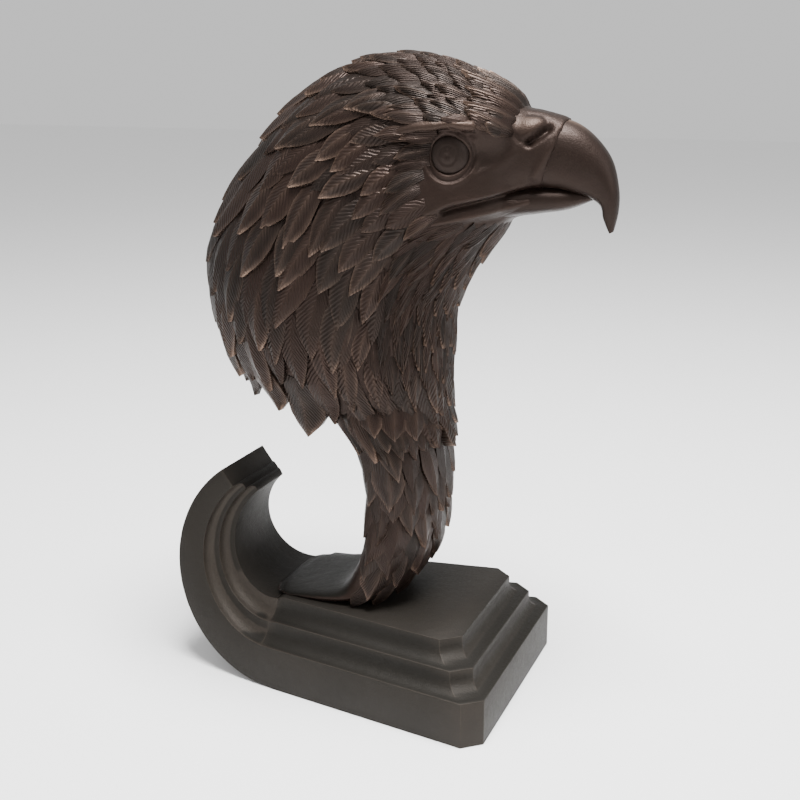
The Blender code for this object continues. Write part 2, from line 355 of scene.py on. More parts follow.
def node_group(name, inputs, outputs):
    """A new shader group and its two ends, with sockets given as (name, kind, default)."""
    group = bpy.data.node_groups.new(name, "ShaderNodeTree")
    for label, kind, default in inputs:
        socket = group.interface.new_socket(label, in_out="INPUT", socket_type=kind)
        if default is not None:
            socket.default_value = default
    for label, kind in outputs:
        group.interface.new_socket(label, in_out="OUTPUT", socket_type=kind)
    return group, group.nodes.new("NodeGroupInput"), group.nodes.new("NodeGroupOutput")


def feed(tree, socket, value):
    """Gives a socket its value: a link from another socket, a number or a colour."""
    if isinstance(value, bpy.types.NodeSocket):
        tree.links.new(value, socket)
    elif isinstance(value, (int, float)):
        socket.default_value = value
    else:
        socket.default_value = (*value, 1.0)


def math_node(tree, operation, first, second=None):
    made = tree.nodes.new("ShaderNodeMath")
    made.operation = operation
    feed(tree, made.inputs[0], first)
    if second is not None:
        feed(tree, made.inputs[1], second)
    return made.outputs[0]


def noise_node(tree, scale, detail, position):
    made = tree.nodes.new("ShaderNodeTexNoise")
    made.inputs["Detail"].default_value = detail
    feed(tree, made.inputs["Scale"], scale)
    feed(tree, made.inputs["Vector"], position)
    return made.outputs["Fac"]


def mix_colours(tree, share, first, second):
    made = tree.nodes.new("ShaderNodeMix")
    made.data_type = "RGBA"
    feed(tree, made.inputs["Factor"], share)
    feed(tree, made.inputs[6], first)
    feed(tree, made.inputs[7], second)
    return made.outputs[2]


def patina_group():
    """Cloudy patina over the bare colour, turned to the worn colour where a mask says so: rubbed copper and
    painted highlights.
    """
    speckle_scale, cloud_share, cloud_middle = 900.0, 0.9, 0.45
    speckle_rub_and_highlight, speckle_dulling, rub_polish = 0.6, 0.22, 0.08
    group, start, end = node_group(
        "Patina",
        (("Colour", "NodeSocketColor", None), ("Second colour", "NodeSocketColor", None),
         ("Worn colour", "NodeSocketColor", None), ("Tone", "NodeSocketFloat", 0.5),
         ("Worn", "NodeSocketFloat", 0.0), ("Cloud scale", "NodeSocketFloat", 35.0),
         ("Dullness", "NodeSocketFloat", 0.31), ("Position", "NodeSocketVector", None)),
        (("Colour", "NodeSocketColor"), ("Roughness", "NodeSocketFloat")))
    take = start.outputs
    clouds = noise_node(group, take["Cloud scale"], 6.0, take["Position"])
    speckle = noise_node(group, speckle_scale, 3.0, take["Position"])
    share = math_node(group, "ADD", math_node(group, "MULTIPLY", clouds, cloud_share), take["Tone"])
    share = math_node(group, "SUBTRACT", share, cloud_middle)
    share = math_node(group, "MINIMUM", math_node(group, "MAXIMUM", share, 0.0), 1.0)
    base = mix_colours(group, share, take["Colour"], take["Second colour"])
    # The mask, broken by clouds and speckle, mixes in the worn colour: rubbed patina and painted highlight
    # glints.
    broken = math_node(group, "ADD", clouds, math_node(group, "MULTIPLY", speckle, speckle_rub_and_highlight))
    rub_and_highlight = math_node(group, "MULTIPLY", take["Worn"], math_node(group, "MULTIPLY", take["Worn"], broken))
    rub_and_highlight = math_node(group, "MINIMUM", rub_and_highlight, 1.0)
    wear_and_highlight = mix_colours(group, rub_and_highlight, base, take["Worn colour"])
    dull = math_node(
        group, "ADD", take["Dullness"], math_node(group, "MULTIPLY", speckle, speckle_dulling))
    dull = math_node(group, "SUBTRACT", dull, math_node(group, "MULTIPLY", rub_and_highlight, rub_polish))
    group.links.new(wear_and_highlight, end.inputs["Colour"])
    group.links.new(dull, end.inputs["Roughness"])
    return group


def grain_group():
    """Fine cast grain as a height, from two sizes of noise."""
    broad_scale, broad_share = 160.0, 1.5
    group, start, end = node_group(
        "Cast grain",
        (("Position", "NodeSocketVector", None), ("Grain scale", "NodeSocketFloat", 1500.0)),
        (("Height", "NodeSocketFloat"),))
    fine = noise_node(group, start.outputs["Grain scale"], 4.0, start.outputs["Position"])
    broad = noise_node(group, broad_scale, 3.0, start.outputs["Position"])
    height = math_node(group, "ADD", fine, math_node(group, "MULTIPLY", broad, broad_share))
    group.links.new(height, end.inputs["Height"])
    return group


def barbs_group():
    """Combed barbs that slant off a feather's shaft, as a height, from its flat (across, along) map."""
    sweep, wander_scale, wander_reach = 0.55, 260.0, 0.0012
    group, start, end = node_group(
        "Barbs",
        (("Blade", "NodeSocketVector", None), ("Barb pitch", "NodeSocketFloat", 0.0014),
         ("Slant", "NodeSocketFloat", 0.9)),
        (("Height", "NodeSocketFloat"),))
    parts = group.nodes.new("ShaderNodeSeparateXYZ")
    group.links.new(start.outputs["Blade"], parts.inputs[0])
    across = math_node(group, "ABSOLUTE", parts.outputs["X"])
    wander = noise_node(group, wander_scale, 2.0, start.outputs["Blade"])
    run = math_node(group, "SUBTRACT", math_node(group, "MULTIPLY", across, start.outputs["Slant"]),
                    math_node(group, "MULTIPLY", parts.outputs["Y"], sweep))
    run = math_node(group, "ADD", run, math_node(group, "MULTIPLY", wander, wander_reach))
    turns = math_node(group, "DIVIDE", run, start.outputs["Barb pitch"])
    wave = math_node(group, "SINE", math_node(group, "MULTIPLY", turns, 2 * math.pi))
    height = math_node(group, "MULTIPLY", math_node(group, "ADD", wave, 1.0), 0.5)
    group.links.new(height, end.inputs["Height"])
    return group


def placed_group(tree, group, **values):
    """A shader group's outputs, with its inputs given by name."""
    made = tree.nodes.new("ShaderNodeGroup")
    made.node_tree = group
    for label, value in values.items():
        feed(tree, made.inputs[label.replace("_", " ")], value)
    return made.outputs


def bare_material(name, metallic):
    """A new material and its tree, Principled shader and object position."""
    made = bpy.data.materials.new(name)
    made.use_nodes = True
    shader = made.node_tree.nodes["Principled BSDF"]
    shader.inputs["Metallic"].default_value = metallic
    shader.inputs["Specular IOR Level"].default_value = 0.2
    position = made.node_tree.nodes.new("ShaderNodeTexCoord").outputs["Object"]
    return made, made.node_tree, shader, position


def attribute(tree, name):
    made = tree.nodes.new("ShaderNodeAttribute")
    made.attribute_name = name
    return made.outputs["Fac"]


def bumped(tree, shader, height, distance, strength, under=None):
    made = tree.nodes.new("ShaderNodeBump")
    made.inputs["Distance"].default_value = distance
    made.inputs["Strength"].default_value = strength
    tree.links.new(height, made.inputs["Height"])
    if under:
        tree.links.new(under, made.inputs["Normal"])
    tree.links.new(made.outputs[0], shader.inputs["Normal"])
    return made.outputs[0]


def shared_group(name, maker):
    return bpy.data.node_groups.get(name) or maker()


def bronze(name, colour, second, wear_and_highlight_colour, metallic, dullness, grain, barbed=False):
    """One of the figurine's bronzes, with patina, rubbed copper with painted highlights, grain and, on
    feathers, combed barbs.
    """
    grain_depth, barb_depth, barb_strength = 0.0002, 0.0005, 0.5
    known = bpy.data.materials.get(name)
    if known:
        return known
    made, tree, shader, position = bare_material(name, metallic)
    patina = placed_group(
        tree, shared_group("Patina", patina_group), Colour=colour, Second_colour=second,
        Worn_colour=wear_and_highlight_colour, Tone=attribute(tree, "tone"), Worn=attribute(tree, "wear_and_highlight"),
        Dullness=dullness, Position=position)
    tree.links.new(patina["Colour"], shader.inputs["Base Color"])
    tree.links.new(patina["Roughness"], shader.inputs["Roughness"])
    height = placed_group(tree, shared_group("Cast grain", grain_group), Position=position)["Height"]
    normal = bumped(tree, shader, height, grain_depth, grain)
    if barbed:
        flat = tree.nodes.new("ShaderNodeUVMap")
        flat.uv_map = "blade"
        barbs = placed_group(tree, shared_group("Barbs", barbs_group), Blade=flat.outputs[0])["Height"]
        bumped(tree, shader, barbs, barb_depth, barb_strength, normal)
    return made


def feather_bronze():
    colours = bpy.context.scene.finish_colours
    return bronze("barbed_patina", colours.feather_dark, colours.feather_red, colours.copper,
                  metallic=0.6, dullness=0.31, grain=0.35, barbed=True)


def beak_bronze():
    colours = bpy.context.scene.finish_colours
    return bronze("beak_patina", colours.feather_dark, colours.feather_red, colours.copper,
                  metallic=0.6, dullness=0.31, grain=0.50)


def skin_bronze():
    """The head's brown, turning to the plinth's grey where the tone is low."""
    colours = bpy.context.scene.finish_colours
    return bronze("skin_patina", colours.plinth_dark, colours.feather_red, colours.copper,
                  metallic=0.6, dullness=0.34, grain=0.80)


def plinth_bronze():
    colours = bpy.context.scene.finish_colours
    return bronze("plinth_patina", colours.plinth_dark, colours.plinth_dark, colours.plinth_wear_and_highlight,
                  metallic=0.35, dullness=0.48, grain=0.90)


# Plinth


def plinth_top(size):
    return size.foot_height + coved_steps * size.step_height


def plinth_levels(size):
    """(height, count of steps in) of each level of the moulding, from the underside up."""
    cove_pieces = 9
    levels = [(0.0, 0.0), (size.foot_height, 0.0)]
    cove_height = size.step_height - size.fillet_height
    for step in range(coved_steps):
        base = size.foot_height + step * size.step_height
        for piece in range(1, cove_pieces + 1):
            turn = math.pi / 2 * piece / cove_pieces
            levels.append((base + cove_height * (1 - math.cos(turn)), step + math.sin(turn)))
        levels.append((base + size.step_height, step + 1.0))
    return levels


def along_plinth(size, run):
    """(x, z, turn, half width, share of full thickness) at a distance along the underside."""
    full = plinth_top(size)
    if run <= size.foot_length:
        half = blend(size.width, size.heel_width, run / size.foot_length) / 2
        return size.foot_length / 2 - run, 0.0, 0.0, half, 1.0
    slope = (size.curl_tip_radius - size.curl_radius) / size.curl_turn
    past = run - size.foot_length
    turn = (math.sqrt(size.curl_radius**2 + 2 * slope * past) - size.curl_radius) / slope
    sine, cosine = math.sin(turn), math.cos(turn)
    x = -size.foot_length / 2 - size.curl_radius * sine - slope * (turn * sine + cosine - 1)
    z = size.curl_radius * (1 - cosine) + slope * (sine - turn * cosine)
    share = past / ((size.curl_radius + size.curl_tip_radius) / 2 * size.curl_turn)
    half = blend(size.heel_width, size.tip_width, share) / 2
    thick = full * (1 - share) * (1 - 2 * share) + 4 * size.curl_mid_thickness * share * (1 - share)
    thick += size.tip_thickness * share * (2 * share - 1)
    return x, z, turn, half, thick / full


def plinth_runs(size, steps, seam):
    """Distances along the underside at which one level has its points, with three at the seam."""
    foot_pieces, curl_pieces, seam_half = 6, 64, 0.0007
    front = steps * size.front_step
    curl_length = (size.curl_radius + size.curl_tip_radius) / 2 * size.curl_turn
    end = size.foot_length + curl_length + steps * size.tip_slant
    runs = [front, front + size.corner_chamfer]
    runs += [blend(runs[1], size.foot_length, i / foot_pieces) for i in range(1, foot_pieces + 1)]
    runs += [seam - seam_half, seam, seam + seam_half]
    start = seam + 4 * seam_half
    return runs + [blend(start, end, i / curl_pieces) for i in range(curl_pieces + 1)]


class FIGURINE_OT_plinth(bpy.types.Operator):
    """Model the stepped plinth: level outlines stacked up, capped by strips and softened at the edges"""

    bl_idname = "figurine.plinth"
    bl_label = "Stepped Plinth"

    def execute(self, context):
        size = context.scene.plinth_sizes
        seam = size.foot_length + seam_setback
        levels = []
        for height, steps in plinth_levels(size):
            left, right = [], []
            for index, run in enumerate(plinth_runs(size, steps, seam)):
                x, z, turn, half, scale = along_plinth(size, run)
                half -= steps * size.side_step * scale
                if index == 0:
                    half -= size.corner_chamfer
                up = height
                if run == seam and steps == coved_steps:
                    up -= size.seam_depth
                x += up * scale * math.sin(turn)
                z += up * scale * math.cos(turn)
                left.append((x, half, z))
                right.append((x, -half, z))
            levels.append(left + right[::-1])
        count = len(levels[0])
        faces = side_faces(len(levels), count)
        for first in (0, (len(levels) - 1) * count):
            for i in range(count // 2 - 1):
                j = count - 1 - i
                faces.append((first + i, first + i + 1, first + j - 1, first + j))
        piece = mesh_piece("stepped_plinth", levels, faces)
        edges = piece.modifiers.new("Soft edges", "BEVEL")
        edges.width = size.edge_round
        edges.segments = 2
        edges.angle_limit = math.radians(24)
        bpy.ops.object.modifier_apply(modifier=edges.name)
        bpy.ops.object.shade_smooth_by_angle(angle=math.radians(40))
        self.mark_wear_and_highlight(piece)
        finished(piece, plinth_bronze(), ("plinth",))
        return {"FINISHED"}

    def mark_wear_and_highlight(self, piece):
        """Marks the softened edges, whose faces are the narrowest, for the worn colour: rubbed patina and a
        painted edge highlight.
        """
        narrow_side, small_face, edge_wear_and_highlight = 0.0010954, 0.000012, 0.6
        wear_and_highlight = np.zeros(len(piece.data.vertices))
        touching = np.zeros(len(piece.data.vertices))
        for face in piece.data.polygons:
            corners = list(face.vertices)
            sides = [
                (piece.data.vertices[a].co - piece.data.vertices[b].co).length
                for a, b in zip(corners, corners[1:] + corners[:1])
            ]
            touching[corners] += 1
            if min(sides) < narrow_side and face.area < small_face:
                wear_and_highlight[corners] += 1
        point_values(piece, "wear_and_highlight", edge_wear_and_highlight * wear_and_highlight / np.maximum(touching, 1))
        point_values(piece, "tone", np.full(len(wear_and_highlight), 0.5))


# Eagle


def neck_foot():
    """Where the eagle's shares start: the middle of the neck's foot, on the plinth's top."""
    plinth, eagle = bpy.context.scene.plinth_sizes, bpy.context.scene.eagle_sizes
    return plinth.foot_length / 2 - eagle.setback, plinth_top(plinth) + eagle.seat_gap


def shares_of(points):
    """How far forward and up points are, as shares of the eagle's height."""
    foot_x, foot_z = neck_foot()
    height = bpy.context.scene.eagle_sizes.height
    return (points[..., 0] - foot_x) / height, (points[..., 2] - foot_z) / height


def face_form(points):
    """The brow's overhang, the eye's hollow and the cheek, as a move away from the middle plane."""
    forward, up = shares_of(points)
    height = bpy.context.scene.eagle_sizes.height
    on_side = smooth(np.abs(points[..., 1]) / height / 0.08)
    brow_up = eye_up + 0.048 - 0.08 * (forward - eye_forward)
    brow = brow_out * bump(up, brow_up, 0.022) * bump(forward, eye_forward, 0.11)
    hollow = hollow_in * bump(up, eye_up - 0.007, 0.034) * bump(forward, eye_forward + 0.02, 0.085)
    cheek = cheek_out * bump(up, eye_up - 0.090, 0.040) * bump(forward, eye_forward - 0.04, 0.080)
    move = (brow - hollow + cheek) * on_side * height
    formed = points.copy()
    formed[..., 1] += np.sign(points[..., 1]) * move
    return formed


def section_at(table, place):
    """Sections at places between a table's rows, on a Catmull-Rom curve through them."""
    last = len(table) - 1
    index = np.clip(np.floor(place).astype(int), 0, last - 1)
    share = (place - index)[..., None]
    a, b = table[np.maximum(index - 1, 0)], table[index]
    c, d = table[index + 1], table[np.minimum(index + 2, last)]
    return 0.5 * (2 * b + (c - a) * share + (2 * a - 5 * b + 4 * c - d) * share**2
                  + (3 * b - a - 3 * c + d) * share**3)


def surface(table, place, turn, under=0.0, formed=True):
    """Points on a sectioned form: turn 0 is the throat side, pi the back."""
    place, turn = np.broadcast_arrays(np.asarray(place, float), np.asarray(turn, float))
    height = bpy.context.scene.eagle_sizes.height
    foot_x, foot_z = neck_foot()
    back_x, back_z, throat_x, throat_z, half, flat = np.moveaxis(section_at(table, place), -1, 0)
    cosine, sine = np.cos(turn), np.sin(turn)
    power = 1 / (1 + np.where(cosine < 0, flat, under))
    along = np.sign(cosine) * np.abs(cosine) ** power
    across = np.sign(sine) * np.abs(sine) ** power
    points = np.stack((
        foot_x + height * ((back_x + throat_x) + (throat_x - back_x) * along) / 2,
        height * half * across,
        foot_z + height * ((back_z + throat_z) + (throat_z - back_z) * along) / 2,
    ), axis=-1)
    return face_form(points) if formed else points


def surface_frame(table, place, turn):
    """Points, how they move per place and per turn, and the outward normals."""
    step = 0.001
    down = (surface(table, place + step, turn) - surface(table, place - step, turn)) / (2 * step)
    across = (surface(table, place, turn + step) - surface(table, place, turn - step)) / (2 * step)
    normal = np.cross(across, down)
    normal /= np.linalg.norm(normal, axis=-1, keepdims=True) + 1e-12
    points = surface(table, place, turn)
    middle = (surface(table, place, turn * 0.0) + surface(table, place, turn * 0.0 + math.pi)) / 2
    flip = np.sign(np.sum((points - middle) * normal, axis=-1, keepdims=True))
    return points, down, across, normal * np.where(flip == 0, 1, flip)


def rings_of(table, places, around, under=0.0, formed=False, lift=0.0, slant=0.0):
    """Rings along a sectioned form, moved out by the lift and slanted forward along the back."""
    turns = np.arange(around) * 2 * math.pi / around
    places = np.array(places)[:, None] + slant * (1 - np.cos(turns)) / 2
    rings = surface(table, places, turns, under, formed)
    middle = rings.mean(axis=1, keepdims=True)
    away = rings - middle
    size = np.linalg.norm(away, axis=-1, keepdims=True)
    return rings + away / np.maximum(size, 1e-9) * lift


def bare(points):
    """How far a point is out of the bare skin round the eye and the gape: 1 is its edge."""
    forward, up = shares_of(points)
    middle_forward, middle_up, reach_forward, reach_up = bare_face
    out = np.hypot((forward - middle_forward) / reach_forward, (up - middle_up) / reach_up)
    return np.minimum(out, np.hypot(forward - eye_forward, up - eye_up - 0.006) / eye_socket)


def line_distance(forward, up, line):
    """Distance of points from a line of shares, as a share."""
    nearest = np.full(forward.shape, 1e9)
    for (x0, z0), (x1, z1) in zip(line, line[1:]):
        length = (x1 - x0) ** 2 + (z1 - z0) ** 2
        along = np.clip(((forward - x0) * (x1 - x0) + (up - z0) * (z1 - z0)) / length, 0, 1)
        nearest = np.minimum(nearest, np.hypot(forward - x0 - along * (x1 - x0), up - z0 - along * (z1 - z0)))
    return nearest


def face_relief(points, normals):
    """How far out each point of the face is carved: lids round the eye, lips, nostril and cere."""
    sizes = bpy.context.scene.eagle_sizes
    forward, up = shares_of(points)
    facing = smooth((np.abs(normals[:, 1]) - 0.12) / 0.3)
    relief = np.zeros(len(points))
    for depth, width, line in face_lines.values():
        away = line_distance(forward, up, line) * sizes.height * 1000
        relief += depth * np.exp(-((away / width) ** 2))
    hood = bump(forward, 0.412, 0.026) * bump(up, 0.880, 0.019)
    relief += 1.5 * hood
    out = np.hypot((forward - eye_forward) / eye_narrowing, up - eye_up) * sizes.height
    lid = out - sizes.eye_radius
    below = smooth((eye_up - up) / 0.02)
    relief += 1.0 * bump(lid, 0.0013, 0.0010) - 0.5 * bump(lid, 0.0030, 0.0009)
    relief += (0.2 + 0.5 * below) * bump(lid, 0.0044, 0.0013)
    relief -= 1.2 * smooth(-lid / 0.0008)
    return relief * facing / 1000


class FIGURINE_OT_eagle_skin(bpy.types.Operator):
    """Fuse head, neck, cere and jaw into one skin, refine the face and carve its lines"""

    bl_idname = "figurine.eagle_skin"
    bl_label = "Eagle's Head and Neck"

    def execute(self, context):
        face_reach = 1.25
        piece = self.joined_forms()
        piece.name = piece.data.name = "eagle_skin"
        piece.data.remesh_voxel_size = context.scene.eagle_sizes.grain
        bpy.ops.object.voxel_remesh()
        self.smooth_faces(piece, np.ones(len(piece.data.polygons), bool), 3)
        self.smooth_faces(piece, self.at_beak_root(piece), 8)
        near = (bare(face_centres(piece)) < face_reach) | self.at_beak_root(piece)
        select_faces(piece, near)
        bpy.ops.mesh.subdivide(number_cuts=1)
        bpy.ops.object.mode_set(mode="OBJECT")
        self.smooth_faces(piece, bare(face_centres(piece)) < face_reach, 3)
        points = coordinates(piece)
        normals = np.empty(len(points) * 3, np.float32)
        piece.data.vertex_normals.foreach_get("vector", normals)
        normals = normals.reshape(-1, 3)
        relief = face_relief(points, normals)
        move_vertices(piece, points + normals * relief[:, None])
        bpy.ops.object.shade_smooth()
        # The worn colour on the raised face lines and the brow band is rubbed copper and a painted highlight
        # on the lit brow and ridges.
        raised = smooth(relief / 0.0012)
        brow = bump(shares_of(points)[1], eye_up + 0.050, 0.012) * smooth(2 - bare(points))
        point_values(piece, "wear_and_highlight", 0.22 * raised + 0.10 * brow)
        saddle = smooth((normals[:, 2] - 0.45) / 0.3) * smooth((0.10 - shares_of(points)[1]) / 0.04)
        point_values(piece, "tone", 0.9 * (1 - saddle))
        finished(piece, skin_bronze(), ("eagle",))
        return {"FINISHED"}

    def joined_forms(self):
        """The closed forms of head with neck, cere and jaw, joined in one piece."""
        along = 24
        head = rings_of(head_sections, np.linspace(0, ruff_end, 100), 112, formed=True)
        neck = rings_of(neck_sections, np.linspace(0, len(neck_sections) - 1, 80), 112, formed=True)
        cere_lift = np.linspace(0.0020, 0.0010, along)[:, None, None]
        cere_slant = np.linspace(0, seam_slant, along)[:, None]
        cere = rings_of(
            beak_sections, np.linspace(0, cere_end, along), 48, beak_under, lift=cere_lift, slant=cere_slant)
        jaw_lift = np.linspace(0.0018, -0.0012, along)[:, None, None]
        jaw = rings_of(jaw_sections, np.linspace(0, jaw_skin_end, along), 40, jaw_under, lift=jaw_lift)
        forms = [loft("form", rings) for rings in (np.concatenate((head, neck)), cere, jaw)]
        deselect()
        for form in forms:
            form.select_set(True)
        bpy.context.view_layer.objects.active = forms[0]
        bpy.ops.object.join()
        return forms[0]

    def at_beak_root(self, piece):
        forward, up = shares_of(face_centres(piece))
        return (forward > 0.335) & (forward < 0.49) & (up > 0.69)

    def smooth_faces(self, piece, chosen, times):
        select_faces(piece, chosen)
        bpy.ops.mesh.vertices_smooth(factor=0.5, repeat=times)
        bpy.ops.object.mode_set(mode="OBJECT")


class FIGURINE_OT_beak(bpy.types.Operator):
    """Model the hooked upper beak and the lower beak that tucks inside it"""

    bl_idname = "figurine.beak"
    bl_label = "Beak"

    def execute(self, context):
        parts = []
        for name, table, start, slanted, around, along, boxy in (
            ("upper_beak", beak_sections, 2.05, seam_slant, 64, 96, beak_under),
            ("lower_beak", jaw_sections, 0.35, 0.0, 48, 48, jaw_under),
        ):
            places = np.linspace(start, len(table) - 1, along)
            slant = np.linspace(slanted, 0, along)[:, None]
            parts.append(loft(name, rings_of(table, places, around, boxy, slant=slant)))
        for part in parts:
            points = coordinates(part)
            # The beak's top ridge gets the worn colour as a painted highlight along the culmen; the small
            # share everywhere is rubbed copper.
            ridge = smooth((shares_of(points)[1] - 0.85) / 0.05) * smooth(1 - np.abs(points[:, 1]) / 0.006)
            point_values(part, "wear_and_highlight", 0.08 + 0.80 * ridge)
            point_values(part, "tone", np.full(len(points), 0.6))
            choose(part)
            bpy.ops.object.shade_smooth_by_angle(angle=math.radians(50))
            finished(part, beak_bronze(), ("eagle",))
        return {"FINISHED"}


class FIGURINE_OT_eyes(bpy.types.Operator):
    """Model each eye as a low dome with a ring cut for its pupil"""

    bl_idname = "figurine.eyes"
    bl_label = "Eyes"

    def execute(self, context):
        dome_height, ring_depth, set_in, overlap = 0.0040, 0.0004, 0.0016, 0.0010
        size = context.scene.eagle_sizes
        foot_x, foot_z = neck_foot()
        x, z = foot_x + eye_forward * size.height, foot_z + eye_up * size.height
        skin = coordinates(bpy.data.objects["eagle_skin"])
        around = np.hypot((skin[:, 0] - x) / eye_narrowing, skin[:, 2] - z)
        rim = skin[(around > size.eye_radius) & (around < size.eye_radius * 1.2) & (skin[:, 1] > 0.01)]
        slopes = np.linalg.lstsq(
            np.c_[rim[:, 0] - x, rim[:, 2] - z, np.ones(len(rim))], rim[:, 1], rcond=None)[0]
        for side, name in ((1, "left_eye"), (-1, "right_eye")):
            deselect()
            bpy.ops.mesh.primitive_uv_sphere_add(segments=48, ring_count=40, radius=1)
            piece = context.object
            piece.name = piece.data.name = name
            points = coordinates(piece)
            out = np.hypot(points[:, 0], points[:, 1])
            ring = bump(out, 0.42, 0.07) + 0.8 * bump(out, 0.0, 0.10)
            eyeball = size.eye_radius + overlap
            dome = points[:, 2] * dome_height - ring_depth * ring * (points[:, 2] > 0)
            east, north = points[:, 0] * eyeball * eye_narrowing, points[:, 1] * eyeball
            level = slopes[2] + slopes[0] * east + slopes[1] * north
            placed = np.c_[x + east, side * (level + dome - set_in), z + north]
            move_vertices(piece, placed)
            turn_outwards(piece)
            bpy.ops.object.shade_smooth()
            point_values(piece, "wear_and_highlight", np.full(len(points), 0.06))
            point_values(piece, "tone", np.full(len(points), 0.4))
            finished(piece, beak_bronze(), ("eagle",))
        return {"FINISHED"}


# Feathers


def feather_blank():
    """One flat feather: corners as (across -1 to 1, along 0 to 1, 1 on top or 0 below) and its faces."""
    deselect()
    bpy.ops.mesh.primitive_grid_add(x_subdivisions=4, y_subdivisions=6, size=2)
    blank = bpy.context.object
    bpy.ops.object.mode_set(mode="EDIT")
    bpy.ops.mesh.select_all(action="SELECT")
    bpy.ops.mesh.extrude_region_move(TRANSFORM_OT_translate={"value": (0, 0, 1)})
    bpy.ops.object.mode_set(mode="OBJECT")
    turn_outwards(blank)
    select_faces(blank, [face.normal.z < -0.5 for face in blank.data.polygons])
    bpy.ops.mesh.dissolve_faces()
    bpy.ops.object.mode_set(mode="OBJECT")
    corners = coordinates(blank)
    corners[:, 1] = (corners[:, 1] + 1) / 2
    faces = [list(face.vertices) for face in blank.data.polygons]
    bpy.data.meshes.remove(blank.data)
    return corners, faces


def feather_kind(part, place, turn, size):
    """(length, width, sharpness, tip lift) of a feather rooted at a place and turn."""
    crown_width, ruff_width, neck_width = 0.0052, 0.0115, 0.0100
    crown_lift, throat_length = 0.0032, 0.0190
    facing = math.cos(turn)
    if part == "neck":
        lift = size.feather_lift * blend(1.0, 0.45, smooth((place - 6.0) / 2.0))
        lift *= blend(0.4, 1.0, smooth((facing + 0.55) / 0.6))
        return size.neck_feather, neck_width, 1.0, lift
    front = smooth((facing - 0.30) / 0.45)
    below = smooth((place - 8.0) / 2.0)
    grown = smooth((place - 2.2) / 5.0)
    behind = smooth((0.1 - facing) / 0.5) * smooth((place - 5.0) / 4.0)
    length = blend(size.crown_feather, size.ruff_feather, grown)
    length *= blend(0.65, 1.0, smooth((place - 0.4) / 1.4))
    width = blend(crown_width, ruff_width, grown)
    sharp = blend(0.55, 0.80, grown) - 0.30 * behind
    lift = blend(crown_lift, size.feather_lift, grown) * (1 + 0.10 * behind)
    throat_width, throat_lift = blend(0.0040, 0.0085, below), blend(0.0022, 0.0034, below)
    return (blend(length, throat_length, front), blend(width, throat_width, front),
            blend(sharp, 0.95, front), blend(lift, throat_lift, front))


def off_limits(part, tip_place, facing):
    """Whether a feather would end past the ruff's edge, or on the neck's smooth back and foot."""
    head_edge, neck_edge = 12.5, 8.6
    if part == "head":
        ends = head_edge - 0.6 * bump(facing, -0.05, 0.2) + 1.4 * smooth((facing - 0.15) / 0.3)
        return tip_place > ends
    return facing < -0.46 + 0.75 * smooth((tip_place - 5.5) / 3.2) or tip_place > neck_edge


def over_bare_skin(root, reach):
    """Whether a feather's middle or tip would lie on the face's bare skin."""
    return min(bare(root + reach * share) for share in (0.5, 1.0)) < 1.0


def feather_roots(part, table, places, size, dice):
    """Roots in shingled order: each keeps its length and width clear of those laid before it."""
    around, turn_shift, shuffle = 260, 0.024, 0.02
    own_length, own_width, same_side = 0.47, 0.86, 0.02
    spots, marks = [], []
    for place in places:
        turns = np.linspace(-math.pi, math.pi, around, endpoint=False) + dice.uniform(0, turn_shift)
        points, down, across, _ = surface_frame(table, np.full(turns.shape, place), turns)
        order = np.argsort(-np.abs(turns) + shuffle * np.array([dice.random() for _ in turns]))
        for i in order:
            turn = float(turns[i])
            length, width, sharp, lift = feather_kind(part, place, turn, size)
            per_place = np.linalg.norm(down[i])
            if off_limits(part, place + length / per_place, math.cos(turn)):
                continue
            way = down[i] / per_place
            if part == "head" and over_bare_skin(points[i], way * length):
                continue
            if spots:
                gap = np.array(spots) - points[i]
                along = gap @ way
                over = gap @ (across[i] / np.linalg.norm(across[i]))
                rest = gap - np.outer(along, way)
                near = (along / (own_length * length)) ** 2 + (over / (own_width * width)) ** 2 < 1
                if np.any(near & (np.linalg.norm(rest, axis=1) < same_side)):
                    continue
            spots.append(points[i])
            marks.append((place, turn, length, width, sharp, lift))
    return marks


def blade_outline(along, sharp):
    """How wide a feather is along its length, as a share of its widest."""
    widest, least = 0.52, 0.03
    narrowing = np.clip((along - widest) / (1 - widest), 0, 1)
    root = 0.70 + 0.30 * smooth(along / widest)
    return np.maximum(np.where(along < widest, root, 1 - narrowing ** (3.2 - 2.0 * sharp)), least)


